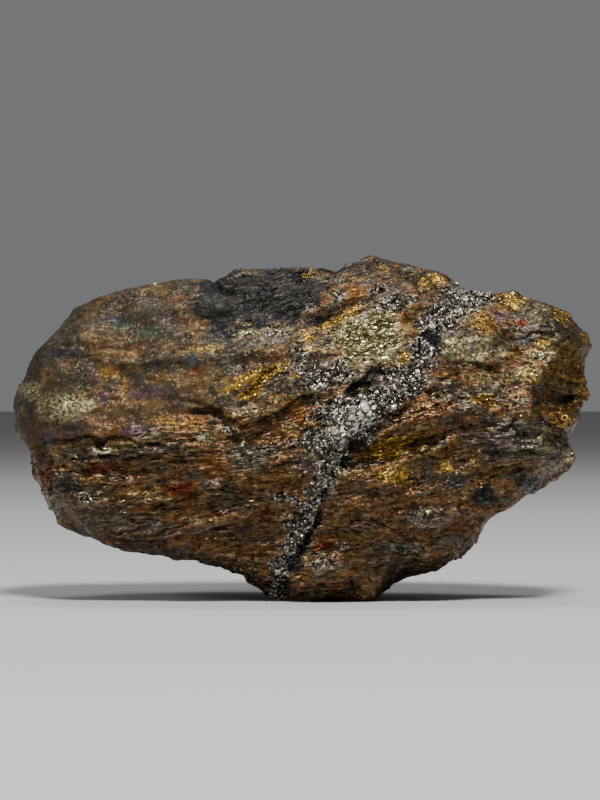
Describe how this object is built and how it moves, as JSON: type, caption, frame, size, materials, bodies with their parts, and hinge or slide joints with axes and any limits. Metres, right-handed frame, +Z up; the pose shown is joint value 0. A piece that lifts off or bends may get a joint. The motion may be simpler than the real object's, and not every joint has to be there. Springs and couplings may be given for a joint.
{
  "type": "peacock ore specimen",
  "caption": "Rough lump of tarnished bornite and chalcopyrite, broken along its laminae, standing on a small flat spot on its lower long edge.",
  "frame": {"origin": "middle of the stone's outline seen from above, on the flat spot that it stands on", "axes": "+X along the stone's length, towards its pointed end, +Y from the broad fresh face to the back, +Z up from the flat spot"},
  "size_m": [0.14, 0.064, 0.0825],
  "materials": {
    "tarnished_ore": "rough fibrous break with a half-metallic bronze-brown shine, iridescent purple, blue, green and gold tarnish, and a silver-grey vein"
  },
  "bodies": {
    "root": {"peacock_ore": "tarnished_ore"}
  },
  "joints": []
}
